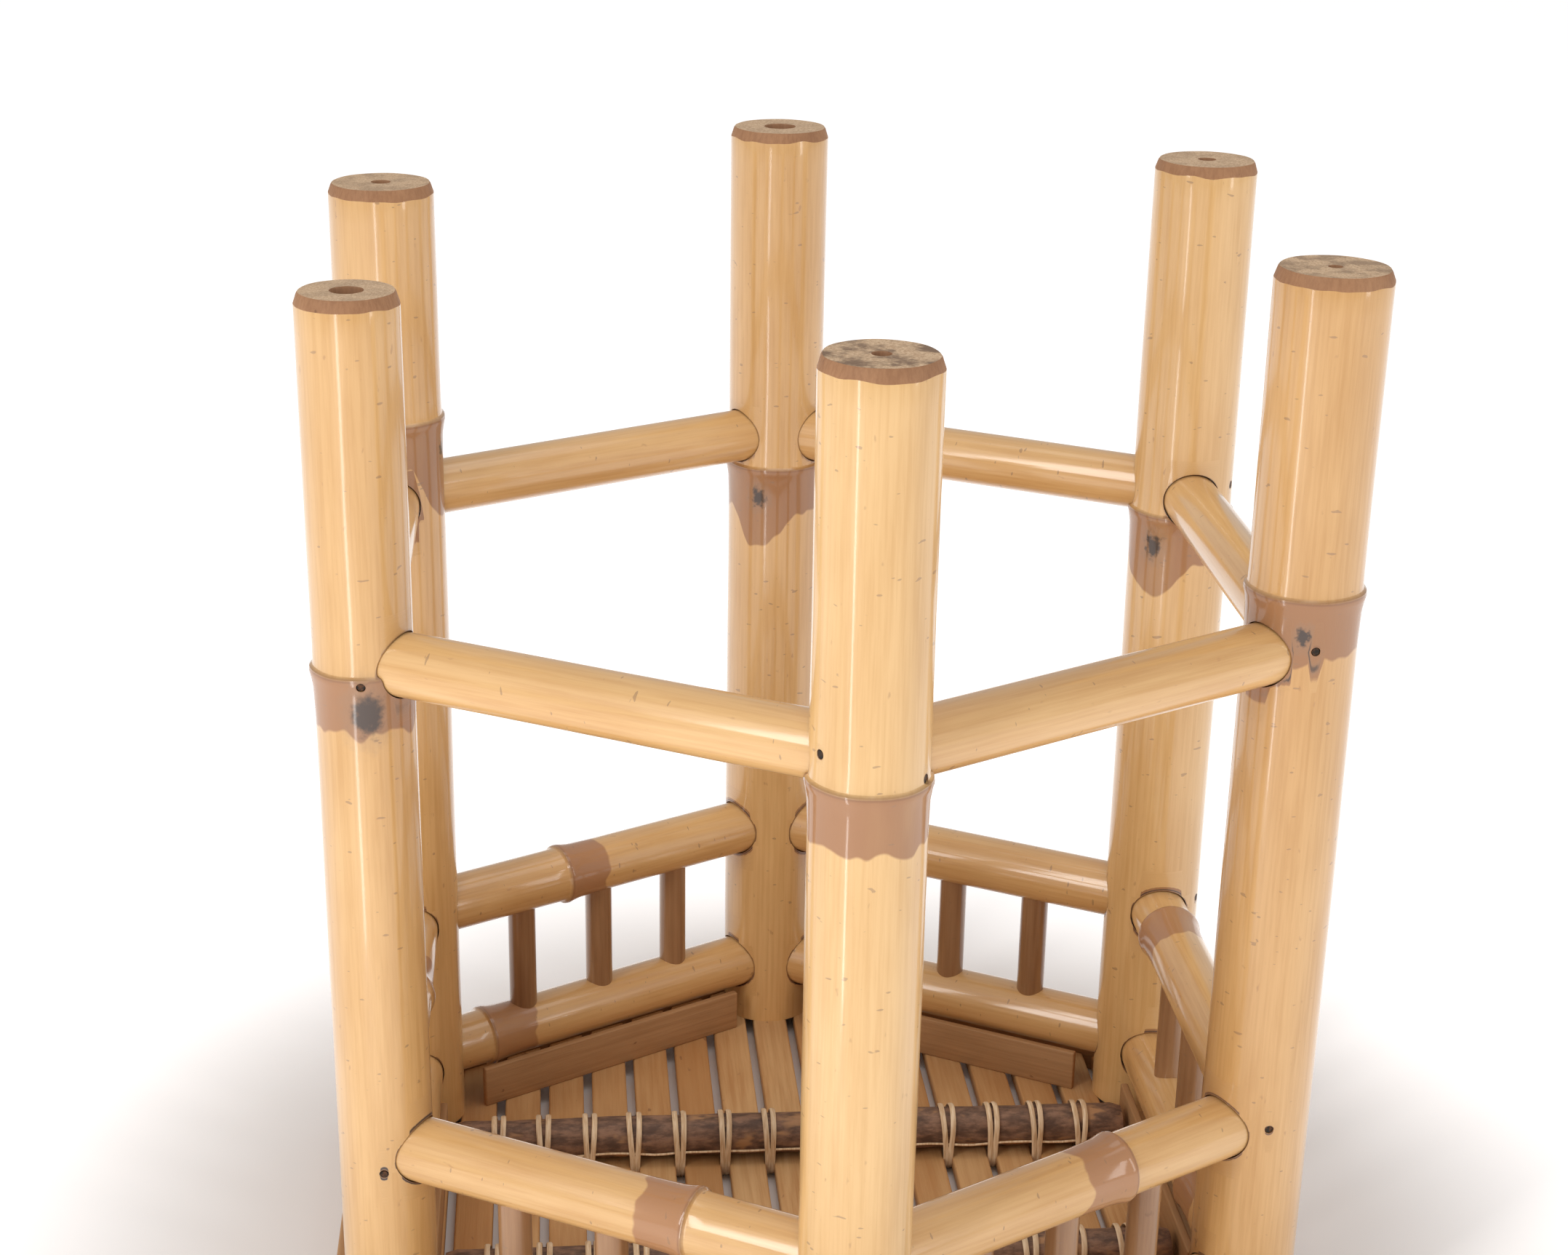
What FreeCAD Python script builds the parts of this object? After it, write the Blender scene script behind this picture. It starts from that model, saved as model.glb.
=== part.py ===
"""Bamboo stand: six posts, three rings of rails, a low gallery of spindles and a lashed slat deck."""
import FreeCAD, Part
import math
import os

Vector = FreeCAD.Vector
Rotation = FreeCAD.Rotation
Placement = FreeCAD.Placement

doc = FreeCAD.newDocument("BambooStand")

# Driving dimensions, in millimetres. Heights are above the top face of the deck.
sizes = {
    "post_circle": 170,
    "post_height": 377,
    "post_chamfer": 3.2,
    "post_chamfer_inset": 1.3,
    "post_bore_depth": 62,
    "joint_swell": 1.2,
    "joint_length": 12,
    "upper_rail_height": 259,
    "middle_rail_height": 88,
    "lower_rail_height": 25,
    "upper_rail_dia": 20.5,
    "middle_rail_dia": 22,
    "lower_rail_dia": 22,
    "rail_end_gap": 9,
    "spindle_dia": 11,
    "spindle_pitch": 36,
    "spindle_tenon": 5,
    "brad_dia": 2.4,
    "brad_offset": 4,
    "brad_bite": 14,
    "brad_sink": 0.3,
    "slat_width": 14.1,
    "slat_pitch": 17.6,
    "slat_thickness": 6,
    "stick_dia": 17,
    "stick_spacing": 90,
    "stick_end_gap": 3,
    "strand_width": 2.8,
    "strand_thickness": 1,
    "batten_height": 16.8,
    "batten_thickness": 3,
    "batten_end_gap": 24,
    "batten_rail_offset": 0.2,
    "rim_height": 23,
    "rim_thickness": 4,
    "fit": 0.15,
    "clearance": 0.2,
}

# Each post: place round the ring (degrees), diameter, height over the common one,
# bore of its free end, and height of its culm joint.
posts = {
    "front": (270, 35.3, -2, 5, 253),
    "front_left": (210, 32.5, -4, 9.6, 257),
    "rear_left": (150, 37.3, -4, 6.4, 289),
    "rear": (90, 37.2, 2, 11.4, 247),
    "rear_right": (30, 37.5, 5, 6, 252),
    "front_right": (330, 36.2, 3, 3.2, 279),
}

# Each side of the ring: direction of its outward normal (degrees).
sides = {"rear_left": 120, "rear_right": 60, "right": 0, "front_right": 300, "front_left": 240, "left": 180}
rings = ["upper", "middle", "lower"]
SPINDLES_PER_SIDE = 3

sheet = doc.addObject("Spreadsheet::Sheet", "Sizes")
for name, (angle, dia, extra, bore, joint) in posts.items():
    sizes[name + "_post_dia"] = dia
    sizes[name + "_post_extra"] = extra
    sizes[name + "_post_bore"] = bore
    sizes[name + "_joint_height"] = joint
for row, (alias, value) in enumerate(sizes.items(), start=1):
    sheet.set("A%d" % row, alias)
    sheet.set("B%d" % row, str(value))
    sheet.setAlias("B%d" % row, alias)
doc.recompute()

# Places that follow from the driving dimensions.
deck_bottom = sizes["strand_thickness"] + sizes["clearance"]
deck_top = deck_bottom + sizes["slat_thickness"]
apothem = sizes["post_circle"] * math.cos(math.pi / 6)
widest_post = max(dia for angle, dia, extra, bore, joint in posts.values())
rim_inside = apothem + widest_post / 2 + sizes["clearance"]
ring_height = {ring: deck_top + sizes[ring + "_rail_height"] for ring in rings}
batten_centre = apothem - sizes["lower_rail_dia"] / 2 - sizes["batten_rail_offset"]
stick_centre_height = deck_top + sizes["stick_dia"] / 2
slats_each_side = int((rim_inside - sizes["slat_width"] / 2) // sizes["slat_pitch"])
stick_reach = batten_centre - sizes["batten_thickness"] / 2 - sizes["stick_end_gap"]

ALONG_X = Rotation(Vector(0, 1, 0), 90)
ALONG_Y = Rotation(Vector(1, 0, 0), -90)


def turned(angle, place, turn=None):
    """A placement given for angle 0, turned about the stand's axis."""
    return Placement(Vector(), Rotation(Vector(0, 0, 1), angle)) * Placement(place, turn or Rotation())


def cylinder(label, dia, length, place, grow="0"):
    """A cylinder whose diameter and length are sheet expressions."""
    rod = doc.addObject("Part::Cylinder", label)
    rod.Label = label
    rod.setExpression("Radius", "(%s) / 2 + %s" % (dia, grow))
    rod.setExpression("Height", length)
    rod.Placement = place
    return rod


def cone(label, low, high, height, place):
    """A cone whose two radii and height are sheet expressions."""
    piece = doc.addObject("Part::Cone", label)
    piece.setExpression("Radius1", low)
    piece.setExpression("Radius2", high)
    piece.setExpression("Height", height)
    piece.Placement = place
    return piece


def box(label, length, width, height, place):
    """A box whose three sizes are sheet expressions."""
    block = doc.addObject("Part::Box", label)
    block.Label = label
    block.setExpression("Length", length)
    block.setExpression("Width", width)
    block.setExpression("Height", height)
    block.Placement = place
    return block


def fuse(label, pieces):
    """One solid out of several that touch."""
    joined = doc.addObject("Part::MultiFuse", label)
    joined.Label = label
    joined.Shapes = pieces
    return joined


def cut(label, base, tools):
    """The base with every tool taken out of it."""
    result = doc.addObject("Part::Cut", label)
    result.Label = label
    result.Base = base
    result.Tool = tools[0] if len(tools) == 1 else fuse(label + "_tools", tools)
    return result


def along(direction):
    """The turn that lays a cylinder's axis along a level direction (degrees)."""
    return Rotation(Vector(0, 0, 1), direction) * ALONG_X


def level(direction, distance):
    """A level step from the post's axis."""
    return Vector(math.cos(math.radians(direction)), math.sin(math.radians(direction)), 0) * distance


def post(name):
    """A post with its culm joint, end bore, rail mortises and brad holes."""
    angle, dia = posts[name][:2]
    foot = Vector(sizes["post_circle"], 0, deck_top)
    total = "Sizes.post_height + Sizes.%s_post_extra" % name
    radius = "Sizes.%s_post_dia / 2" % name
    height = sizes["post_height"] + posts[name][2]
    shaft = cylinder(name + "_shaft", "Sizes.%s_post_dia" % name, total + " - Sizes.post_chamfer",
                     turned(angle, foot))
    tip = cone(name + "_tip", radius, radius + " - Sizes.post_chamfer_inset", "Sizes.post_chamfer",
               turned(angle, foot + Vector(0, 0, height - sizes["post_chamfer"])))
    swell_foot = foot + Vector(0, 0, posts[name][4] - sizes["joint_length"] / 2)
    swell_crest = swell_foot + Vector(0, 0, sizes["joint_length"] / 2)
    swell = [cone(name + "_swell_low", radius, radius + " + Sizes.joint_swell", "Sizes.joint_length / 2",
                  turned(angle, swell_foot)),
             cone(name + "_swell_high", radius + " + Sizes.joint_swell", radius, "Sizes.joint_length / 2",
                  turned(angle, swell_crest))]
    tools = [cylinder(name + "_bore", "Sizes.%s_post_bore" % name, "Sizes.post_bore_depth + 1",
                      turned(angle, foot + Vector(0, 0, height - sizes["post_bore_depth"])))]
    for ring in rings:
        for direction, lift in ((120, sizes["brad_offset"]), (240, -sizes["brad_offset"])):
            centre = Vector(sizes["post_circle"], 0, ring_height[ring])
            mortise_floor = sizes["rail_end_gap"] - sizes["clearance"]
            tools.append(cylinder("%s_%s_mortise_%d" % (name, ring, direction),
                                  "Sizes.%s_rail_dia" % ring, "Sizes.%s_post_dia" % name,
                                  turned(angle, centre + level(direction, mortise_floor), along(direction)),
                                  "Sizes.fit"))
            start = centre + level(direction, -dia) + Vector(0, 0, lift)
            tools.append(cylinder("%s_%s_brad_hole_%d" % (name, ring, direction), "Sizes.brad_dia",
                                  "Sizes.%s_post_dia + Sizes.rail_end_gap" % name,
                                  turned(angle, start, along(direction)), "Sizes.fit / 3"))
    return cut("post_" + name, fuse(name + "_culm", [shaft, tip] + swell), tools)


def rail(ring, side):
    """A rail that ends in the mortises of two posts, with its spindle sockets and brad holes."""
    angle = sides[side]
    rail_radius = sizes[ring + "_rail_dia"] / 2
    half = sizes["post_circle"] / 2 - sizes["rail_end_gap"]
    axis_point = Vector(apothem, 0, ring_height[ring])
    rod = cylinder("%s_%s_rod" % (ring, side), "Sizes.%s_rail_dia" % ring,
                   "Sizes.post_circle - 2 * Sizes.rail_end_gap",
                   turned(angle, axis_point + Vector(0, -half, 0), ALONG_Y))
    tools = []
    for end in (-1, 1):
        start = half - sizes["brad_bite"] - 1 if end == 1 else -half - 1
        place = axis_point + Vector(0, start, -end * sizes["brad_offset"])
        tools.append(cylinder("%s_%s_brad_hole_%d" % (ring, side, end), "Sizes.brad_dia",
                              "Sizes.brad_bite + 2", turned(angle, place, ALONG_Y), "Sizes.fit / 3"))
    if ring in ("middle", "lower"):
        depth = sizes["spindle_tenon"] + sizes["clearance"]
        bottom = -rail_radius - 1 if ring == "middle" else rail_radius - depth
        for index in range(SPINDLES_PER_SIDE):
            offset = (index - (SPINDLES_PER_SIDE - 1) / 2) * sizes["spindle_pitch"]
            tools.append(cylinder("%s_%s_socket_%d" % (ring, side, index + 1), "Sizes.spindle_dia",
                                  "Sizes.spindle_tenon + Sizes.clearance + 1",
                                  turned(angle, axis_point + Vector(0, offset, bottom)), "Sizes.fit"))
    return cut("%s_rail_%s" % (ring, side), rod, tools)


def spindle(side, index):
    """A spindle between the lower and the middle rail of one side."""
    offset = (index - (SPINDLES_PER_SIDE - 1) / 2) * sizes["spindle_pitch"]
    foot = ring_height["lower"] + sizes["lower_rail_dia"] / 2 - sizes["spindle_tenon"]
    reach = ("Sizes.middle_rail_height - Sizes.lower_rail_height - Sizes.middle_rail_dia / 2"
             " - Sizes.lower_rail_dia / 2 + 2 * Sizes.spindle_tenon")
    return cylinder("spindle_%s_%d" % (side, index + 1), "Sizes.spindle_dia", reach,
                    turned(sides[side], Vector(apothem, offset, foot)))


def batten(side):
    """A split strip that stands on the deck under the inside of the lower rail."""
    corner = Vector(batten_centre - sizes["batten_thickness"] / 2,
                    sizes["batten_end_gap"] - sizes["post_circle"] / 2, deck_top)
    return box("inner_batten_" + side, "Sizes.batten_thickness",
               "Sizes.post_circle - 2 * Sizes.batten_end_gap", "Sizes.batten_height",
               turned(sides[side], corner))


def rim(side):
    """A mitred edge strip that closes one side of the deck."""
    strip = doc.addObject("Part::Wedge", "deck_rim_" + side)
    strip.Label = "deck_rim_" + side
    half_inside = rim_inside * math.tan(math.pi / 6) - sizes["clearance"] / 2
    half_outside = (rim_inside + sizes["rim_thickness"]) * math.tan(math.pi / 6) - sizes["clearance"] / 2
    strip.Xmin, strip.Xmax = -half_inside, half_inside
    strip.X2min, strip.X2max = -half_outside, half_outside
    strip.Ymin = 0
    strip.setExpression("Ymax", "Sizes.rim_thickness")
    strip.Zmin = strip.Z2min = 0
    strip.setExpression("Zmax", "Sizes.rim_height")
    strip.setExpression("Z2max", "Sizes.rim_height")
    strip.Placement = turned(sides[side] - 90, Vector(0, rim_inside, 0))
    return strip


def deck_slats():
    """Parallel split slats, cut off along the rim."""
    blanks = []
    for index in range(-slats_each_side, slats_each_side + 1):
        corner = Vector(index * sizes["slat_pitch"] - sizes["slat_width"] / 2, -2 * rim_inside, deck_bottom)
        blank = box("slat_blank_%d" % (index + slats_each_side + 1), "Sizes.slat_width", "1",
                    "Sizes.slat_thickness", Placement(corner, Rotation()))
        blank.setExpression("Width", None)
        blank.Width = 4 * rim_inside
        blanks.append(blank)
    group = doc.addObject("Part::Compound", "slat_blanks")
    group.Links = blanks
    outline = doc.addObject("Part::Prism", "deck_outline")
    outline.Polygon = 6
    outline.Circumradius = (rim_inside - sizes["clearance"]) / math.cos(math.pi / 6)
    outline.Height = deck_top + 1
    outline.Placement = Placement(Vector(), Rotation(Vector(0, 0, 1), 30))
    slats = doc.addObject("Part::Common", "deck_slats")
    slats.Label = "deck_slats"
    slats.Base = group
    slats.Tool = outline
    return slats


def stick(name, toward_rear):
    """A round twig that lies across the slats."""
    rod = cylinder("cross_stick_" + name, "Sizes.stick_dia", "1",
                   Placement(Vector(-stick_reach, toward_rear * sizes["stick_spacing"] / 2, stick_centre_height),
                             ALONG_X))
    rod.setExpression("Height", None)
    rod.Height = 2 * stick_reach
    return rod


def lashing(name, toward_rear):
    """One strand that loops over the stick at every gap and runs on below the slats."""
    across = toward_rear * sizes["stick_spacing"] / 2
    inner = sizes["stick_dia"] / 2 + sizes["clearance"]
    outer = inner + sizes["strand_thickness"]
    strand_bottom = deck_bottom - sizes["clearance"] / 2 - sizes["strand_thickness"]
    gaps = [(index + 0.5) * sizes["slat_pitch"] for index in range(-slats_each_side, slats_each_side)]
    gaps = [gap for gap in gaps if abs(gap) + sizes["strand_width"] / 2 < stick_reach]
    grow = "Sizes.clearance + Sizes.strand_thickness"
    pieces = []
    for index, gap in enumerate(gaps, start=1):
        left = gap - sizes["strand_width"] / 2
        pieces.append(cylinder("%s_hoop_%d" % (name, index), "Sizes.stick_dia", "Sizes.strand_width",
                               Placement(Vector(left, across, stick_centre_height), ALONG_X), grow))
        legs = box("%s_legs_%d" % (name, index), "Sizes.strand_width",
                   "Sizes.stick_dia + 2 * (%s)" % grow, "1",
                   Placement(Vector(left, across - outer, strand_bottom), Rotation()))
        legs.setExpression("Height", None)
        legs.Height = stick_centre_height - strand_bottom
        pieces.append(legs)
    run = box(name + "_run", "1", "Sizes.strand_width", "Sizes.strand_thickness",
              Placement(Vector(gaps[0], across - sizes["strand_width"] / 2, strand_bottom), Rotation()))
    run.setExpression("Length", None)
    run.Length = gaps[-1] - gaps[0]
    pieces.append(run)
    hollow = cylinder(name + "_stick_space", "Sizes.stick_dia", "1",
                      Placement(Vector(-stick_reach, across, stick_centre_height), ALONG_X), "Sizes.clearance")
    hollow.setExpression("Height", None)
    hollow.Height = 2 * stick_reach
    space = box(name + "_slat_space", "1", "Sizes.stick_dia + 2 * Sizes.clearance", "1",
                Placement(Vector(-stick_reach, across - inner, strand_bottom + sizes["strand_thickness"]),
                          Rotation()))
    space.setExpression("Length", None)
    space.setExpression("Height", None)
    space.Length = 2 * stick_reach
    space.Height = stick_centre_height - strand_bottom - sizes["strand_thickness"]
    return cut("lashing_" + name, fuse(name + "_strand", pieces), [hollow, space])


def rail_brads():
    """Headless brads, each driven through a post into the end of a rail."""
    nails = []
    for name, (angle, dia, extra, bore, joint) in posts.items():
        for ring in rings:
            for direction, lift in ((120, sizes["brad_offset"]), (240, -sizes["brad_offset"])):
                back = math.sqrt((dia / 2) ** 2 - (sizes["brad_dia"] / 2) ** 2) - sizes["brad_sink"]
                start = Vector(sizes["post_circle"], 0, ring_height[ring] + lift) + level(direction, -back)
                nail = cylinder("%s_%s_brad_%d" % (name, ring, direction), "Sizes.brad_dia", "1",
                                turned(angle, start, along(direction)))
                nail.setExpression("Height", None)
                nail.Height = back + sizes["rail_end_gap"] + sizes["brad_bite"]
                nails.append(nail)
    group = doc.addObject("Part::Compound", "rail_brads")
    group.Label = "rail_brads"
    group.Links = nails
    return group


nodes = [post(name) for name in posts]
nodes += [rail(ring, side) for ring in rings for side in sides]
nodes += [spindle(side, index) for side in sides for index in range(SPINDLES_PER_SIDE)]
nodes += [batten(side) for side in sides]
nodes += [rim(side) for side in sides]
nodes += [deck_slats(), rail_brads()]
for name, toward_rear in (("rear", 1), ("front", -1)):
    nodes += [stick(name, toward_rear), lashing(name, toward_rear)]
doc.recompute()

for item in doc.Objects:
    if {"Invalid", "Error"} & set(item.State):
        raise RuntimeError("%s did not build: %s" % (item.Name, item.State))
for node in nodes:
    if node.Shape.isNull() or not node.Shape.isValid():
        raise RuntimeError("%s has no valid shape" % node.Label)

os.makedirs("parts", exist_ok=True)
for node in nodes:
    node.Shape.exportStep("parts/%s.step" % node.Label)
    print("%-26s %2d solids %10.1f mm3" % (node.Label, len(node.Shape.Solids), node.Shape.Volume))
print(len(nodes), "nodes")
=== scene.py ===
import bmesh
import bpy
import math
import random
from mathutils import Matrix, Vector, noise


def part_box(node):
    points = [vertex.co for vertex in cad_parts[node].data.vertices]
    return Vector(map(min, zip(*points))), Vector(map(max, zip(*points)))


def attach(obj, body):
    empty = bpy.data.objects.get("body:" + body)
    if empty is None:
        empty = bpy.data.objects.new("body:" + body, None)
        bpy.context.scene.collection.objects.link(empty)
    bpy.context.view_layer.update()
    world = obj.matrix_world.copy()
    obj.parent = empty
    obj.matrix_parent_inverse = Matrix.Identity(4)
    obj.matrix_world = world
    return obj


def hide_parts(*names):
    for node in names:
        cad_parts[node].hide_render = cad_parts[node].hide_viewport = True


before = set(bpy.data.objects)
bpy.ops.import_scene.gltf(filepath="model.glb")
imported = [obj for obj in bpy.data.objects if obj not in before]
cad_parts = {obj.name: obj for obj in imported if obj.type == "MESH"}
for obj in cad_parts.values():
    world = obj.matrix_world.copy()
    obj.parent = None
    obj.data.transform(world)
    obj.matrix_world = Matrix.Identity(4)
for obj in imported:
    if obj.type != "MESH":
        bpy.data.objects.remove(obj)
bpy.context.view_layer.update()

# posts: turn round the stand (degrees), end bore, height of the culm joint, tone (0 pale, 1 orange),
# dirt on the end, bearing of the bud scar (degrees), how far the scar draws the joint's band down,
# and the scar's size
posts = {
    "front": dict(turn=270, bore=0.0026, joint=0.260, tone=0.0,
                  endDirt=0.95, bud=60, budReach=0.004, scarSize=0.6),
    "front_left": dict(turn=210, bore=0.0048, joint=0.264, tone=0.50,
                       endDirt=0.25, bud=276, budReach=0.001, scarSize=1.9),
    "rear_left": dict(turn=150, bore=0.0032, joint=0.296, tone=0.60,
                      endDirt=0.35, bud=345, budReach=0.016, scarSize=0.8),
    "rear": dict(turn=90, bore=0.0057, joint=0.254, tone=0.50,
                 endDirt=0.15, bud=245, budReach=0.013, scarSize=1.1),
    "rear_right": dict(turn=30, bore=0.0030, joint=0.259, tone=0.20,
                       endDirt=0.25, bud=226, budReach=0.013, scarSize=1.2),
    "front_right": dict(turn=330, bore=0.0020, joint=0.286, tone=0.80,
                        endDirt=0.60, bud=256, budReach=0.002, scarSize=0.8),
}
sides = {"rear_left": 120, "rear_right": 60, "right": 0, "front_right": 300, "front_left": 240, "left": 180}
# where a rail has a culm joint, as a share of its length
railJoints = {
    "middle_rail_rear_left": 0.62, "lower_rail_rear_left": 0.86, "middle_rail_front_left": 0.70,
    "middle_rail_front_right": 0.64, "middle_rail_right": 0.84, "lower_rail_right": 0.30,
    "lower_rail_front_right": 0.45, "middle_rail_left": 0.40,
}
shape = dict(swell=0.0013, jointHalf=0.016, facets=0.006, oval=0.010, mortiseGap=0.00035, steps=56)
slatPitch = 0.0176


# shader helpers
def newGroup(name, inputs, outputs):
    group = bpy.data.node_groups.new(name, "ShaderNodeTree")
    for label, kind, value in inputs:
        socket = group.interface.new_socket(label, in_out="INPUT", socket_type=kind)
        socket.default_value = value
    for label, kind in outputs:
        group.interface.new_socket(label, in_out="OUTPUT", socket_type=kind)
    return group, group.nodes.new("NodeGroupInput"), group.nodes.new("NodeGroupOutput")


def addNode(tree, kind, **values):
    node = tree.nodes.new(kind)
    for key, value in values.items():
        setattr(node, key, value)
    return node


def mapped(tree, source, scale):
    node = addNode(tree, "ShaderNodeMapping")
    node.inputs["Scale"].default_value = scale
    tree.links.new(source, node.inputs["Vector"])
    return node.outputs["Vector"]


def noiseOf(tree, vector, scale, detail=4.0, rough=0.55):
    node = addNode(tree, "ShaderNodeTexNoise")
    node.inputs["Scale"].default_value = scale
    node.inputs["Detail"].default_value = detail
    node.inputs["Roughness"].default_value = rough
    tree.links.new(vector, node.inputs["Vector"])
    return node.outputs["Fac"]


def ranged(tree, value, low, high, toLow=0.0, toHigh=1.0, smooth=True):
    node = addNode(tree, "ShaderNodeMapRange", interpolation_type="SMOOTHSTEP" if smooth else "LINEAR")
    node.inputs["From Min"].default_value = low
    node.inputs["From Max"].default_value = high
    node.inputs["To Min"].default_value = toLow
    node.inputs["To Max"].default_value = toHigh
    tree.links.new(value, node.inputs["Value"])
    return node.outputs["Result"]


def calc(tree, operation, first, second=None):
    node = addNode(tree, "ShaderNodeMath", operation=operation)
    for index, value in enumerate((first, second)):
        if isinstance(value, (int, float)):
            node.inputs[index].default_value = value
        elif value is not None:
            tree.links.new(value, node.inputs[index])
    return node.outputs["Value"]


def blended(tree, factor, first, second):
    node = addNode(tree, "ShaderNodeMix", data_type="RGBA")
    for socket, value in ((node.inputs[0], factor), (node.inputs[6], first), (node.inputs[7], second)):
        if isinstance(value, (int, float)):
            socket.default_value = value
        elif isinstance(value, tuple):
            socket.default_value = (*value, 1.0)
        else:
            tree.links.new(value, socket)
    return node.outputs[2]


def fibreGroup():
    group, inside, outside = newGroup(
        "fibreStreaks",
        [("Vector", "NodeSocketVector", (0, 0, 0)), ("Fineness", "NodeSocketFloat", 1.0)],
        [("Streaks", "NodeSocketFloat"), ("Clouds", "NodeSocketFloat"), ("Specks", "NodeSocketFloat")])
    scaled = addNode(group, "ShaderNodeVectorMath", operation="SCALE")
    group.links.new(inside.outputs["Vector"], scaled.inputs[0])
    group.links.new(inside.outputs["Fineness"], scaled.inputs["Scale"])
    vector = scaled.outputs[0]
    streaks = noiseOf(group, mapped(group, vector, (1, 1, 0.035)), 620, 5.0, 0.65)
    clouds = noiseOf(group, mapped(group, vector, (1, 1, 0.30)), 42, 3.0)
    specks = noiseOf(group, mapped(group, vector, (1, 1, 0.45)), 330, 2.0)
    group.links.new(streaks, outside.inputs["Streaks"])
    group.links.new(clouds, outside.inputs["Clouds"])
    group.links.new(ranged(group, specks, 0.70, 0.78), outside.inputs["Specks"])
    return group


fibre = fibreGroup()


def startMaterial(name, roughness, coat=0.0, coatRoughness=0.2, specular=0.5):
    material = bpy.data.materials.new(name)
    material.use_nodes = True
    tree = material.node_tree
    shader = tree.nodes["Principled BSDF"]
    shader.inputs["Roughness"].default_value = roughness
    shader.inputs["Coat Weight"].default_value = coat
    shader.inputs["Coat Roughness"].default_value = coatRoughness
    shader.inputs["Specular IOR Level"].default_value = specular
    return material, tree, shader


def attribute(tree, name, output="Fac"):
    return addNode(tree, "ShaderNodeAttribute", attribute_name=name).outputs[output]


def addFibre(tree, fineness):
    node = addNode(tree, "ShaderNodeGroup")
    node.node_tree = fibre
    node.inputs["Fineness"].default_value = fineness
    tree.links.new(attribute(tree, "grain", "Vector"), node.inputs["Vector"])
    return node.outputs["Streaks"], node.outputs["Clouds"], node.outputs["Specks"]


def bump(tree, shader, height, distance, strength=0.5):
    node = addNode(tree, "ShaderNodeBump")
    node.inputs["Strength"].default_value = strength
    node.inputs["Distance"].default_value = distance
    tree.links.new(height, node.inputs["Height"])
    tree.links.new(node.outputs["Normal"], shader.inputs["Normal"])


scarDrop = 0.011  # how far the middle of a bud scar lies below its joint


# varnished culm skin: fine fibres, cloudy tone, brown band with a wavy edge below each joint
def culmSkin(name, pale, deep, band, bandWidth=0.015, budReach=0.0, scar=0.0, scarSize=1.0):
    material, tree, shader = startMaterial(name, 0.36, 0.9, 0.10)
    streaks, clouds, specks = addFibre(tree, 1.0)
    tone = calc(tree, "ADD", ranged(tree, clouds, 0.30, 0.72, 0.0, 0.55),
                ranged(tree, streaks, 0.35, 0.70, 0.0, 0.45))
    colour = blended(tree, tone, pale, deep)
    colour = blended(tree, calc(tree, "MULTIPLY", specks, 0.40), colour, band)
    vector = attribute(tree, "grain", "Vector")
    wave = noiseOf(tree, mapped(tree, vector, (1, 1, 0.15)), 105, 1.0)
    below = attribute(tree, "belowJoint")
    ragged = calc(tree, "ADD", below, ranged(tree, wave, 0.25, 0.75, -0.003, 0.003, False))
    aside = attribute(tree, "besideBud")
    drawnDown = ranged(tree, aside, 0.003, 0.017, 1.0, 0.0)
    ragged = calc(tree, "SUBTRACT", ragged, calc(tree, "MULTIPLY", drawnDown, budReach))
    lowEdge = ranged(tree, ragged, bandWidth, bandWidth + 0.0012, 1.0, 0.0)
    topEdge = ranged(tree, below, -0.0006, 0.0003, 0.0, 1.0)
    mask = calc(tree, "MULTIPLY", calc(tree, "MULTIPLY", lowEdge, topEdge),
                ranged(tree, clouds, 0.15, 0.55, 0.72, 1.0))
    colour = blended(tree, mask, colour, band)
    ridge = calc(tree, "MULTIPLY", ranged(tree, below, -0.0014, -0.0004, 0.0, 1.0),
                 ranged(tree, below, 0.0, 0.0008, 1.0, 0.0))
    ridgeColour = (band[0] * 0.5, band[1] * 0.4, band[2] * 0.4)
    colour = blended(tree, calc(tree, "MULTIPLY", ridge, 0.5), colour, ridgeColour)
    scarWave = ranged(tree, noiseOf(tree, vector, 420, 3.0), 0.3, 0.7, -0.0012, 0.0012, False)
    drop = calc(tree, "ABSOLUTE", calc(tree, "SUBTRACT", below, scarDrop))
    dropPart = calc(tree, "MULTIPLY", drop, calc(tree, "MULTIPLY", drop, 0.5))
    squared = calc(tree, "ADD", calc(tree, "MULTIPLY", aside, aside), dropPart)
    scarAway = calc(tree, "ADD", calc(tree, "SQRT", squared), scarWave)
    halo = calc(tree, "MULTIPLY", ranged(tree, scarAway, 0.0030 * scarSize, 0.0060 * scarSize, 1.0, 0.0),
                scar * 0.3)
    colour = blended(tree, halo, colour, (0.30, 0.20, 0.13))
    spot = calc(tree, "MULTIPLY", ranged(tree, scarAway, 0.0014 * scarSize, 0.0034 * scarSize, 1.0, 0.0),
                scar)
    colour = blended(tree, spot, colour, (0.045, 0.028, 0.022))
    scuffs = ranged(tree, noiseOf(tree, mapped(tree, vector, (1, 1, 2.6)), 210, 1.0, 0.4), 0.735, 0.765)
    colour = blended(tree, calc(tree, "MULTIPLY", scuffs, 0.55), colour, (0.30, 0.17, 0.09))
    tree.links.new(colour, shader.inputs["Base Color"])
    tree.links.new(ranged(tree, mask, 0, 1, 0.32, 0.55), shader.inputs["Roughness"])
    bump(tree, shader, streaks, 0.0002, 0.35)
    return material


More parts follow.
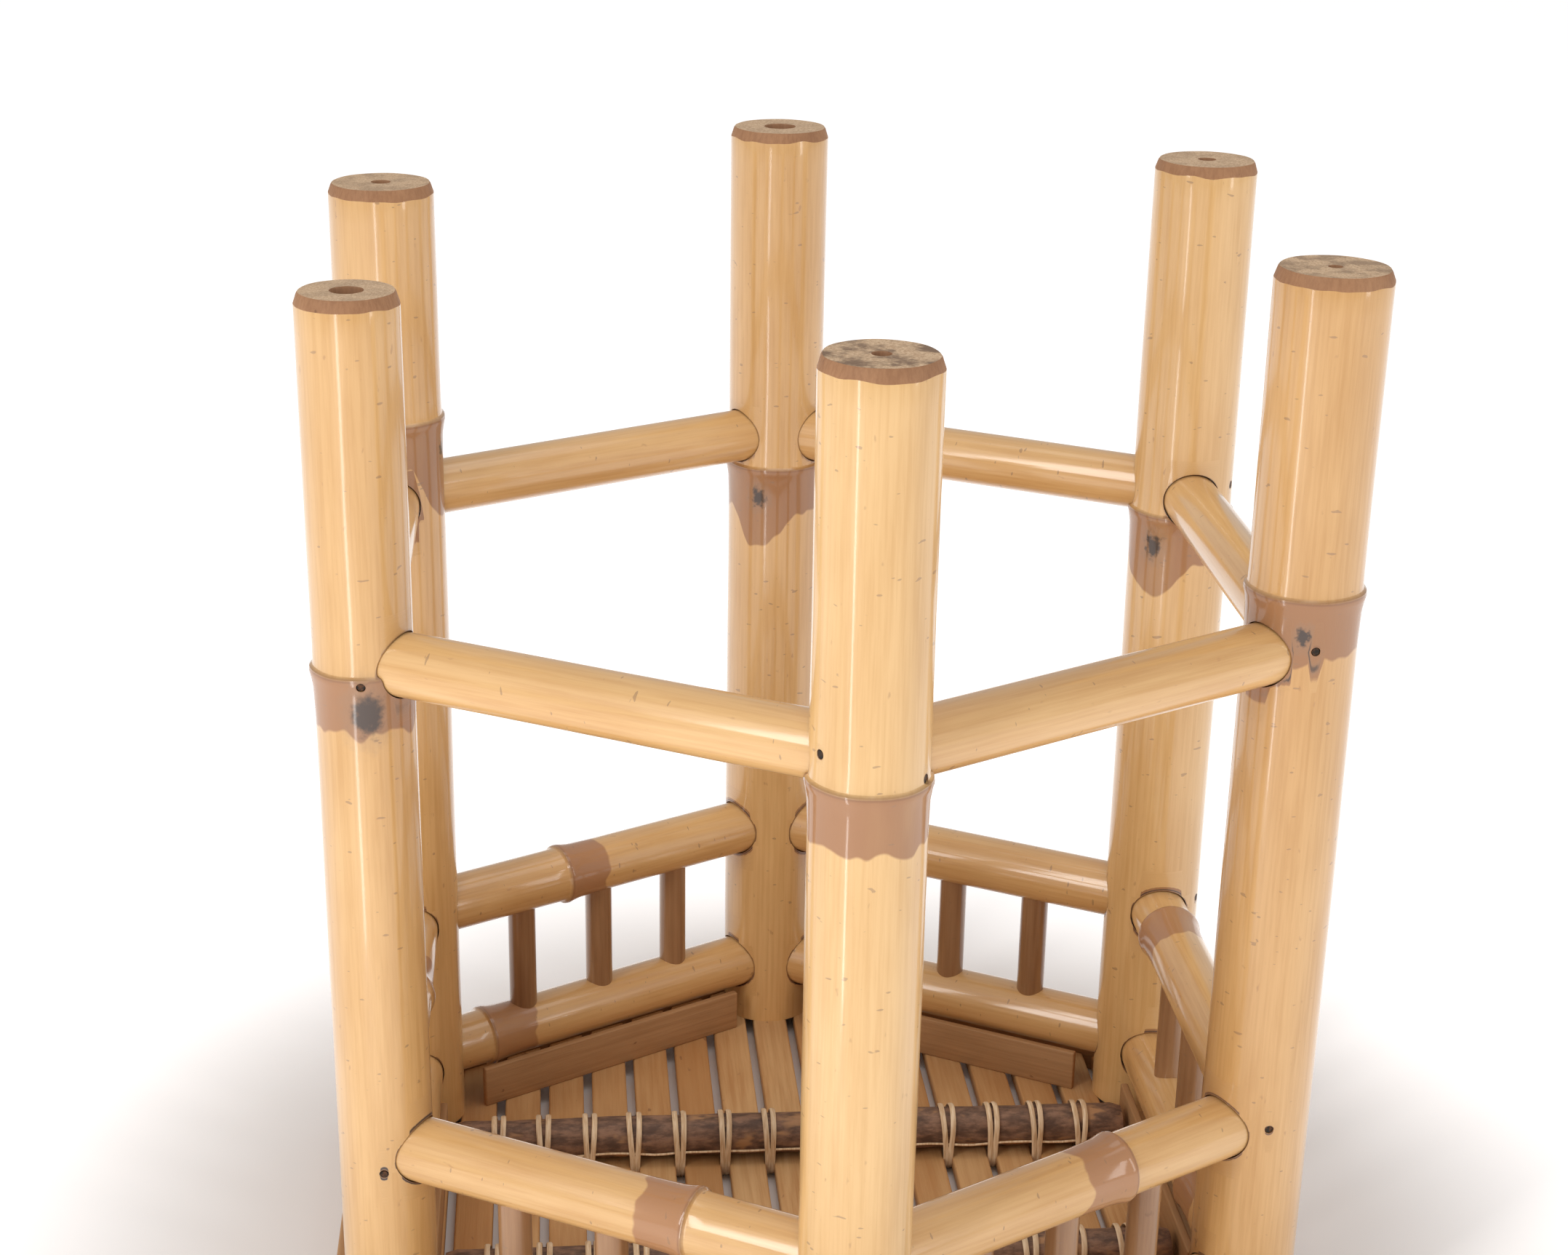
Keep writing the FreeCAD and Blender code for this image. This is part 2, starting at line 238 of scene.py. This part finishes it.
# bare bamboo: cut ends, split slats and strips
def bareBamboo(name, pale, deep, pore, roughness, fineness, bumpDepth):
    material, tree, shader = startMaterial(name, roughness, 0.0, 0.3, 0.35)
    streaks, clouds, specks = addFibre(tree, fineness)
    tone = calc(tree, "ADD", ranged(tree, clouds, 0.3, 0.7, 0.0, 0.5),
                ranged(tree, streaks, 0.35, 0.68, 0.0, 0.5))
    colour = blended(tree, tone, pale, deep)
    colour = blended(tree, attribute(tree, "tone"), colour, deep)
    colour = blended(tree, calc(tree, "MULTIPLY", specks, 0.7), colour, pore)
    tree.links.new(colour, shader.inputs["Base Color"])
    bump(tree, shader, streaks, bumpDepth, 0.6)
    return material


# end grain: fine pores with dirt rubbed in
def endGrain(name, dirt):
    material, tree, shader = startMaterial(name, 0.75, 0.0, 0.3, 0.3)
    vector = attribute(tree, "grain", "Vector")
    pores = noiseOf(tree, vector, 1300, 3.0, 0.7)
    patches = noiseOf(tree, vector, 120, 4.0, 0.6)
    colour = blended(tree, ranged(tree, pores, 0.35, 0.68), (0.74, 0.54, 0.35), (0.50, 0.32, 0.19))
    stain = calc(tree, "MULTIPLY", ranged(tree, patches, 0.42, 0.62), dirt)
    colour = blended(tree, stain, colour, (0.22, 0.14, 0.09))
    tree.links.new(colour, shader.inputs["Base Color"])
    bump(tree, shader, pores, 0.0004, 0.7)
    return material


def barkMaterial():
    material, tree, shader = startMaterial("twigBark", 0.62, 0.15, 0.35, 0.4)
    vector = attribute(tree, "grain", "Vector")
    rough = noiseOf(tree, mapped(tree, vector, (1, 1, 0.4)), 260, 6.0, 0.65)
    patches = noiseOf(tree, mapped(tree, vector, (1, 1, 0.5)), 95, 3.0, 0.6)
    colour = blended(tree, ranged(tree, rough, 0.35, 0.7), (0.10, 0.052, 0.032), (0.32, 0.175, 0.105))
    colour = blended(tree, ranged(tree, patches, 0.56, 0.66), colour, (0.42, 0.22, 0.10))
    tree.links.new(colour, shader.inputs["Base Color"])
    bump(tree, shader, rough, 0.0009, 0.8)
    return material


def rattanMaterial():
    material, tree, shader = startMaterial("rattanStrip", 0.45, 0.2, 0.25)
    coordinates = addNode(tree, "ShaderNodeTexCoord").outputs["Object"]
    streaks = noiseOf(tree, mapped(tree, coordinates, (1, 0.1, 0.1)), 1500, 3.0)
    colour = blended(tree, ranged(tree, streaks, 0.35, 0.65), (0.84, 0.65, 0.43), (0.64, 0.43, 0.24))
    tree.links.new(colour, shader.inputs["Base Color"])
    bump(tree, shader, streaks, 0.0002, 0.5)
    return material


def bradMaterial():
    material, tree, shader = startMaterial("bradSteel", 0.5)
    shader.inputs["Metallic"].default_value = 0.7
    coordinates = addNode(tree, "ShaderNodeTexCoord").outputs["Object"]
    rust = noiseOf(tree, coordinates, 900, 3.0)
    colour = blended(tree, ranged(tree, rust, 0.4, 0.6), (0.03, 0.025, 0.02), (0.11, 0.05, 0.025))
    tree.links.new(colour, shader.inputs["Base Color"])
    return material


def mixTone(pale, orange, tone):
    return tuple(a + (b - a) * tone for a, b in zip(pale, orange))


paleSkin = dict(light=(0.82, 0.530, 0.235), deep=(0.67, 0.385, 0.135))
orangeSkin = dict(light=(0.73, 0.425, 0.170), deep=(0.56, 0.285, 0.085))
bandBrown = (0.38, 0.175, 0.070)
cutBrown = bareBamboo("cutEdge", (0.42, 0.22, 0.11), (0.30, 0.145, 0.07), (0.16, 0.08, 0.04),
                      0.6, 1.4, 0.0003)
railSkin = culmSkin("railSkin", (0.80, 0.50, 0.215), (0.64, 0.345, 0.120), (0.45, 0.215, 0.092), 0.018)
spindleSkin = culmSkin("spindleSkin", (0.42, 0.225, 0.105), (0.27, 0.130, 0.055), (0.16, 0.07, 0.03))
slatWood = bareBamboo("slatWood", (0.72, 0.455, 0.215), (0.50, 0.245, 0.088), (0.28, 0.13, 0.06),
                      0.58, 0.8, 0.0004)
stripWood = bareBamboo("stripWood", (0.52, 0.295, 0.140), (0.38, 0.20, 0.085), (0.18, 0.08, 0.035),
                       0.60, 0.9, 0.0003)
bark = barkMaterial()
rattan = rattanMaterial()
bradSteel = bradMaterial()
print("materials made")


sharpAngle = 38


def finishMesh(name, bm, materials, replaced):
    bmesh.ops.recalc_face_normals(bm, faces=bm.faces)
    mesh = bpy.data.meshes.new(name)
    bm.to_mesh(mesh)
    bm.free()
    piece = bpy.data.objects.new(name, mesh)
    bpy.context.scene.collection.objects.link(piece)
    for material in materials:
        mesh.materials.append(material)
    for face in mesh.polygons:
        face.use_smooth = True
    mesh.set_sharp_from_angle(angle=math.radians(sharpAngle))
    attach(piece, "root")
    for node in replaced:
        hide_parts(node)
    return piece


# a turned shape from (height, radius) points, with the grain kept in an attribute
def turnedShape(profile, place, jointAt=None, wobble=1.0, seed=0.0, budTurn=None):
    bm = bmesh.new()
    grain = bm.verts.layers.float_vector.new("grain")
    below = bm.verts.layers.float.new("belowJoint")
    tone = bm.verts.layers.float.new("tone")
    beside = bm.verts.layers.float.new("besideBud")
    verts = [bm.verts.new((radius, 0, height)) for height, radius in profile]
    edges = [bm.edges.new(pair) for pair in zip(verts, verts[1:])]
    bmesh.ops.spin(bm, geom=verts + edges, cent=(0, 0, 0), axis=(0, 0, 1), angle=math.tau,
                   steps=shape["steps"], use_merge=True)
    bmesh.ops.remove_doubles(bm, verts=bm.verts, dist=0.00002)
    for vert in bm.verts:
        x, y, z = vert.co
        angle = math.atan2(y, x)
        vert[grain] = Vector((x + seed, y - seed, z + seed * 0.7))
        vert[below] = jointAt - z if jointAt is not None else 1.0
        vert[beside] = 1.0
        if budTurn is not None:
            vert[beside] = math.hypot(x, y) * abs(math.remainder(angle - budTurn, math.tau))
        vert[tone] = 0.0
        swing = math.sin(z * 23 + seed * 9)
        stretch = shape["oval"] * math.sin(2 * angle + seed * 5) * 0.6
        stretch += shape["facets"] * math.sin(7 * angle + seed * 3)
        stretch += 0.006 * swing + 0.006 * noise.noise(Vector((x * 60 + seed, y * 60, z * 25)))
        vert.co.x *= 1 + stretch * wobble
        vert.co.y *= 1 + stretch * wobble
    bmesh.ops.transform(bm, matrix=place, verts=bm.verts)
    return bm


# points of a culm's outside between two heights, with a joint ridge
def culmOutline(low, high, radius, jointAt=None, pace=0.012):
    swell = shape["swell"]
    ridge = []
    if jointAt is not None:
        ridge = [(jointAt - shape["jointHalf"], radius), (jointAt - 0.006, radius + 0.25 * swell),
                 (jointAt - 0.0022, radius + 0.75 * swell), (jointAt - 0.0008, radius + swell),
                 (jointAt + 0.0004, radius + 0.85 * swell), (jointAt + 0.0012, radius + 0.15 * swell),
                 (jointAt + 0.0022, radius + 0.05 * swell), (jointAt + 0.007, radius)]
    count = max(2, round((high - low) / pace))
    plain = [(low + (high - low) * index / count, radius) for index in range(count + 1)]
    if ridge:
        plain = [point for point in plain if not ridge[0][0] - 0.004 < point[0] < ridge[-1][0] + 0.004]
    return sorted(plain + ridge)


def placeAlong(start, direction):
    turn = Vector(direction).to_track_quat("Z", "Y").to_matrix().to_4x4()
    return Matrix.Translation(start) @ turn


def nodeCentre(node):
    low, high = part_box(node)
    return (Vector(low) + Vector(high)) / 2


def cutHoles(piece, cutters):
    bm = bmesh.new()
    for place, radius, length in cutters:
        bmesh.ops.create_cone(bm, cap_ends=True, segments=48, radius1=radius, radius2=radius, depth=length,
                              matrix=place @ Matrix.Translation((0, 0, length / 2)))
    mesh = bpy.data.meshes.new("mortises")
    bm.to_mesh(mesh)
    bm.free()
    tool = bpy.data.objects.new("mortises", mesh)
    bpy.context.scene.collection.objects.link(tool)
    modifier = piece.modifiers.new("mortises", "BOOLEAN")
    modifier.operation = "DIFFERENCE"
    modifier.solver = "EXACT"
    modifier.object = tool
    bpy.context.view_layer.update()
    made = bpy.data.meshes.new_from_object(piece.evaluated_get(bpy.context.evaluated_depsgraph_get()))
    piece.modifiers.remove(modifier)
    piece.data = made
    bpy.data.objects.remove(tool)


def nodeSpan(node, axis):
    low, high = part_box(node)
    return high[axis] - low[axis]


ringRadius = nodeCentre("post_rear").y
ringHeights = {ring: nodeCentre(ring + "_rail_right").z for ring in ("upper", "middle", "lower")}
railLength = nodeSpan("middle_rail_right", 1)
railRadii = {ring: nodeSpan(ring + "_rail_right", 2) / 2 for ring in ringHeights}

# a post's worn end, and the brads and mortises at each ring
postEnd = dict(chamfer=0.0036, round=0.0006, roundIn=0.0010, topIn=0.0014, clear=0.008, boreDepth=0.03,
               fray=0.0009)
mortise = dict(start=0.0086, depth=0.03, bradLift=0.004, bradBack=0.03, bradRadius=0.00145, bradDepth=0.0295)


def makePost(name, facts, seed):
    node = "post_" + name
    low, high = (Vector(corner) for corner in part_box(node))
    radius = min(high.x - low.x, high.y - low.y) / 2 - shape["swell"]
    height = high.z - low.z
    jointAt = facts["joint"] - low.z
    rim = [(height - postEnd["chamfer"], radius), (height - postEnd["round"], radius - postEnd["roundIn"]),
           (height, radius - postEnd["topIn"])]
    outline = [point for point in culmOutline(0, height, radius, jointAt)
               if point[0] < height - postEnd["clear"]]
    inside = [(height, facts["bore"] * 1.9), (height, facts["bore"] + 0.0003),
              (height - postEnd["round"], facts["bore"]), (height - postEnd["boreDepth"], facts["bore"]),
              (height - postEnd["boreDepth"] - 0.001, 0.0)]
    turn = math.radians(facts["turn"])
    foot = Vector((math.cos(turn), math.sin(turn), 0)) * ringRadius + Vector((0, 0, low.z))
    place = Matrix.Translation(foot) @ Matrix.Rotation(turn + seed, 4, "Z")
    budTurn = math.radians(facts["bud"]) - turn - seed
    bm = turnedShape([(0, 0)] + outline + rim + inside, place, jointAt, 1.0, seed, budTurn)
    top = high.z
    for vert in bm.verts:
        if abs(vert.co.z - (top - postEnd["chamfer"])) < 0.0003:
            vert.co.z += postEnd["fray"] * noise.noise(Vector((vert.co.x * 140, vert.co.y * 140, seed)))
    for face in bm.faces:
        heights = [vert.co.z for vert in face.verts]
        reach = max((vert.co.xy - foot.xy).length for vert in face.verts)
        if min(heights) > top - 0.0060 and reach > facts["bore"] * 2.5:
            face.material_index = 2 if min(heights) > top - 0.0002 else 1
        elif min(heights) > top - 0.035 and reach < facts["bore"] * 2.5:
            face.material_index = 2 if min(heights) > top - 0.0002 else 1
    skin = culmSkin(name + "PostSkin", mixTone(paleSkin["light"], orangeSkin["light"], facts["tone"]),
                    mixTone(paleSkin["deep"], orangeSkin["deep"], facts["tone"]), bandBrown, 0.017,
                    facts["budReach"], 0.95, facts["scarSize"])
    endWood = endGrain(name + "PostEnd", facts["endDirt"])
    piece = finishMesh("culmPost_" + name, bm, [skin, cutBrown, endWood], [node])
    cutters = []
    for ring, level in ringHeights.items():
        for lean in (120, 240):
            bearing = turn + math.radians(lean)
            way = Vector((math.cos(bearing), math.sin(bearing), 0))
            start = Vector((foot.x, foot.y, level)) + way * mortise["start"]
            cutters.append((placeAlong(start, way), railRadii[ring] + shape["mortiseGap"], mortise["depth"]))
            lift = mortise["bradLift"] if lean == 120 else -mortise["bradLift"]
            start = Vector((foot.x, foot.y, level + lift)) - way * mortise["bradBack"]
            cutters.append((placeAlong(start, way), mortise["bradRadius"], mortise["bradDepth"]))
    cutHoles(piece, cutters)


for index, (name, facts) in enumerate(posts.items()):
    makePost(name, facts, 1.7 * index + 0.4)
print("posts made")


def makeRail(ring, side, seed):
    node = "%s_rail_%s" % (ring, side)
    turn = math.radians(sides[side])
    outward = Vector((math.cos(turn), math.sin(turn), 0))
    sideways = Vector((-math.sin(turn), math.cos(turn), 0))
    centre = nodeCentre(node)
    radius = railRadii[ring] - 0.0001
    share = railJoints.get(node)
    jointAt = railLength * share if share else None
    outline = culmOutline(0, railLength, radius, jointAt)
    ends = [(0.0, 0.0)] + [(0.0, radius)] + outline[1:] + [(railLength, 0.0)]
    place = placeAlong(centre - sideways * railLength / 2, sideways)
    bm = turnedShape(ends, place, jointAt, 0.45, seed)
    finishMesh("roundRail_%s_%s" % (ring, side), bm, [railSkin], [node])


for ringIndex, ring in enumerate(ringHeights):
    for sideIndex, side in enumerate(sides):
        makeRail(ring, side, 2.3 * ringIndex + 1.1 * sideIndex + 3.0)
print("rails made")


# pieces that keep the frame's shape, with worn edges
def softCopy(node, name, material, wear, grainTurn, toneOf):
    bm = bmesh.new()
    bm.from_mesh(bpy.data.objects[node].data)
    bmesh.ops.remove_doubles(bm, verts=bm.verts, dist=0.00001)
    bmesh.ops.dissolve_limit(bm, angle_limit=math.radians(2), verts=bm.verts, edges=bm.edges)
    sharp = [edge for edge in bm.edges
             if len(edge.link_faces) == 2 and edge.calc_face_angle(0) > math.radians(30)]
    bmesh.ops.bevel(bm, geom=sharp, offset=wear, offset_type="OFFSET", segments=3, profile=0.5,
                    affect="EDGES", material=-1, clamp_overlap=True)
    grain = bm.verts.layers.float_vector.new("grain")
    tone = bm.verts.layers.float.new("tone")
    below = bm.verts.layers.float.new("belowJoint")
    for vert in bm.verts:
        vert[tone] = toneOf(vert.co)
        vert[grain] = grainTurn @ vert.co + Vector((vert[tone] * 3.1, vert[tone] * 1.7, 0))
        vert[below] = 1.0
    finishMesh(name, bm, [material], [node])


def slatTone(point):
    return (math.sin(round(point.x / slatPitch) * 12.9898) * 43758.5453) % 1.0 * 0.75


def makeSpindle(side, count, seed):
    node = "spindle_%s_%d" % (side, count)
    low, high = (Vector(corner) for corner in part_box(node))
    length = high.z - low.z
    outline = culmOutline(0, length, (high.x - low.x) / 2)
    place = Matrix.Translation(((low.x + high.x) / 2, (low.y + high.y) / 2, low.z))
    bm = turnedShape([(0, 0)] + outline + [(length, 0)], place, None, 0.5, seed)
    finishMesh("roundSpindle_%s_%d" % (side, count), bm, [spindleSkin], [node])


softCopy("deck_slats", "splitSlats", slatWood, 0.0009,
         Matrix.Rotation(math.radians(90), 3, "X"), slatTone)
for index, (side, degrees) in enumerate(sides.items()):
    lay = Matrix.Rotation(math.radians(90), 3, "X") @ Matrix.Rotation(math.radians(-degrees), 3, "Z")
    softCopy("inner_batten_" + side, "battenStrip_" + side, stripWood, 0.0006, lay,
             lambda point, index=index: 0.13 * index % 0.5)
    softCopy("deck_rim_" + side, "rimStrip_" + side, stripWood, 0.0008, lay,
             lambda point, index=index: 0.17 * index % 0.4)
    for count in (1, 2, 3):
        makeSpindle(side, count, index * 3.3 + count)
for slot in bpy.data.objects["rail_brads"].material_slots:
    slot.material = bradSteel
print("deck and gallery made")


# twigs with bark: taper at the ends, and the size of knots and fine relief
twig = dict(margin=0.0004, endShare=0.86, pace=0.004, knot=0.045, sink=0.03, fine=0.02)


def makeStick(name, seed):
    node = "cross_stick_" + name
    low, high = (Vector(corner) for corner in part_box(node))
    length = high.x - low.x
    radius = (high.z - low.z) / 2 - twig["margin"]
    tipRadius = radius * twig["endShare"]
    centre = Vector((0, (low.y + high.y) / 2, (low.z + high.z) / 2))
    outline = culmOutline(0, length, radius, None, twig["pace"])
    profile = [(0, 0), (0.0, tipRadius)] + outline[1:-1] + [(length, tipRadius), (length, 0)]
    bm = turnedShape(profile, placeAlong(Vector((low.x, centre.y, centre.z)), (1, 0, 0)), None, 0.0, seed)
    for vert in bm.verts:
        away = Vector((0, vert.co.y - centre.y, vert.co.z - centre.z))
        knot = noise.noise(Vector((vert.co.x * 28 + seed, away.y * 60, away.z * 60)))
        fine = noise.noise(Vector((vert.co.x * 160, away.y * 260 + seed, away.z * 260)))
        scale = 1 + twig["knot"] * knot - twig["sink"] + twig["fine"] * fine
        vert.co.y = centre.y + away.y * scale
        vert.co.z = centre.z + away.z * scale
    finishMesh("barkStick_" + name, bm, [bark], [node])


strand = dict(width=0.0021, thickness=0.0009, lean=0.075, spread=0.0026, leanAbove=-0.006)


def strandTube(points, cyclic):
    curve = bpy.data.curves.new("strand", "CURVE")
    curve.dimensions = "3D"
    curve.bevel_depth = strand["thickness"] / 2
    curve.bevel_resolution = 1
    curve.use_fill_caps = True
    spline = curve.splines.new("NURBS")
    spline.points.add(len(points) - 1)
    for target, point in zip(spline.points, points):
        target.co = (*point, 1)
    spline.order_u = 3
    spline.use_endpoint_u = not cyclic
    spline.use_cyclic_u = cyclic
    curve.resolution_u = 2
    holder = bpy.data.objects.new("strand", curve)
    mesh = bpy.data.meshes.new_from_object(holder)
    bpy.data.objects.remove(holder)
    return mesh


def makeLashing(name, seed):
    stickLow, stickHigh = (Vector(corner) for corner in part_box("cross_stick_" + name))
    low, high = (Vector(corner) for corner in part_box("lashing_" + name))
    across = (stickLow.y + stickHigh.y) / 2
    level = (stickLow.z + stickHigh.z) / 2
    reach = (stickHigh.z - stickLow.z) / 2 + strand["thickness"] / 2 + 0.0002
    bottom = low.z + strand["thickness"] / 2
    chance = random.Random(seed)
    bm = bmesh.new()
    gapCount = round((high.x - low.x) / slatPitch)
    gaps = [(index - gapCount / 2) * slatPitch for index in range(gapCount + 1)]
    gaps = [gap for gap in gaps if low.x - 0.001 < gap < high.x + 0.001]
    overStick = [math.radians(degrees) for degrees in range(-90, 91, 15)]
    foot = bottom - level
    for gap in gaps:
        for lean in (-1, 1):
            points = [(0, reach * math.sin(angle), reach * math.cos(angle)) for angle in overStick]
            points += [(0, reach, foot / 2), (0, reach, foot), (0, -reach, foot), (0, -reach, foot / 2)]
            mesh = strandTube(points, True)
            loop = bmesh.new()
            loop.from_mesh(mesh)
            tilt = strand["lean"] * lean * chance.uniform(0.4, 1.3)
            for vert in loop.verts:
                vert.co.x *= strand["width"] / strand["thickness"]
                rise = max(0.0, vert.co.z - strand["leanAbove"])
                vert.co.x += lean * strand["spread"] * 0.35 + tilt * rise
                vert.co += Vector((gap, across, level))
            loop.to_mesh(mesh)
            loop.free()
            bm.from_mesh(mesh)
    # a strand runs along each flank of the stick, and one below the slats
    for flank in (-1, 1):
        points = []
        for index, gap in enumerate(gaps):
            points.append((gap, across + flank * reach * 0.93, level - 0.3 * reach))
            if index + 1 < len(gaps):
                sag = level - (0.30 + chance.uniform(-0.1, 0.1)) * reach
                points.append((gap + slatPitch / 2, across + flank * reach * 0.985, sag))
        bm.from_mesh(strandTube(points, False))
    points = [(gap, across + chance.uniform(-0.001, 0.001), bottom) for gap in gaps]
    bm.from_mesh(strandTube(points, False))
    finishMesh("rattanLashing_" + name, bm, [rattan], ["lashing_" + name])


for index, name in enumerate(("rear", "front")):
    makeStick(name, 4.0 + 3.0 * index)
    makeLashing(name, 21 + index)
print("sticks and lashings made")


# the floor glows only away from the stand
room = dict(floorSize=40, glowFrom=0.20, glowTo=0.36, glow=0.55, ambient=0.50)
lights = {
    "windowLeft": dict(place=(-1.5, -1.3, 1.5), target=(0, 0, 0.2), size=(0.35, 1.6), power=15,
                       colour=(1, 0.985, 0.96), seen=True),
    "topSoft": dict(place=(0.3, 0.2, 2.4), target=(0, 0, 0), size=(1.6, 1.6), power=9,
                    colour=(1, 0.99, 0.98), seen=True),
    "glossStrip": dict(place=(-0.27, -0.44, 0.18), target=(0, -0.1, 0.18), size=(0.03, 0.50), power=0.36,
                       colour=(1, 0.99, 0.97), seen=False),
    "fillRight": dict(place=(1.7, -1.2, 1.0), target=(0, 0, 0.25), size=(0.3, 1.4), power=6,
                      colour=(1, 0.98, 0.96), seen=True),
}


def makeFloor():
    bm = bmesh.new()
    bmesh.ops.create_grid(bm, x_segments=1, y_segments=1, size=room["floorSize"])
    mesh = bpy.data.meshes.new("paleFloor")
    bm.to_mesh(mesh)
    bm.free()
    floor = bpy.data.objects.new("paleFloor", mesh)
    bpy.context.scene.collection.objects.link(floor)
    material, tree, shader = startMaterial("paleFloor", 0.8, 0.0, 0.3, 0.2)
    shader.inputs["Emission Color"].default_value = (1.0, 0.985, 0.98, 1)
    away = addNode(tree, "ShaderNodeVectorMath", operation="LENGTH")
    tree.links.new(addNode(tree, "ShaderNodeTexCoord").outputs["Object"], away.inputs[0])
    glow = ranged(tree, away.outputs["Value"], room["glowFrom"], room["glowTo"], 0.0, room["glow"])
    tree.links.new(glow, shader.inputs["Emission Strength"])
    shader.inputs["Base Color"].default_value = (0.93, 0.91, 0.905, 1)
    mesh.materials.append(material)


def areaLight(name, facts):
    data = bpy.data.lights.new(name, "AREA")
    data.shape = "RECTANGLE"
    data.size, data.size_y = facts["size"]
    data.energy = facts["power"]
    data.color = facts["colour"]
    lamp = bpy.data.objects.new(name, data)
    bpy.context.scene.collection.objects.link(lamp)
    lamp.location = facts["place"]
    lamp.visible_camera = facts["seen"]
    aim = Vector(facts["target"]) - Vector(facts["place"])
    lamp.rotation_euler = aim.to_track_quat("-Z", "Y").to_euler()


def makeLight():
    world = bpy.data.worlds.new("softRoom")
    world.use_nodes = True
    tree = world.node_tree
    ambient = tree.nodes["Background"]
    ambient.inputs["Color"].default_value = (1.0, 0.985, 0.975, 1)
    ambient.inputs["Strength"].default_value = room["ambient"]
    seen = addNode(tree, "ShaderNodeBackground")
    seen.inputs["Color"].default_value = (1, 0.99, 0.985, 1)
    mix = addNode(tree, "ShaderNodeMixShader")
    tree.links.new(addNode(tree, "ShaderNodeLightPath").outputs["Is Camera Ray"], mix.inputs[0])
    tree.links.new(ambient.outputs[0], mix.inputs[1])
    tree.links.new(seen.outputs[0], mix.inputs[2])
    tree.links.new(mix.outputs[0], tree.nodes["World Output"].inputs["Surface"])
    bpy.context.scene.world = world
    bpy.context.scene.view_settings.view_transform = "Standard"
    for name, facts in lights.items():
        areaLight(name, facts)


view = dict(place=(-0.0851, -0.8577, 0.5546), yaw=5.724, pitch=22.251, roll=1.244, lens=60.78,
            shiftX=-0.0186, shiftY=0.07)


def makeCamera():
    data = bpy.data.cameras.new("studioCamera")
    data.lens = view["lens"]
    data.sensor_width = 36
    data.shift_x = view["shiftX"]
    data.shift_y = view["shiftY"]
    camera = bpy.data.objects.new("studioCamera", data)
    bpy.context.scene.collection.objects.link(camera)
    camera.matrix_world = (Matrix.Translation(view["place"])
                           @ Matrix.Rotation(-math.radians(view["yaw"]), 4, "Z")
                           @ Matrix.Rotation(math.radians(90 - view["pitch"]), 4, "X")
                           @ Matrix.Rotation(math.radians(view["roll"]), 4, "Z"))
    bpy.context.scene.camera = camera


makeFloor()
makeLight()
makeCamera()
print("studio made")
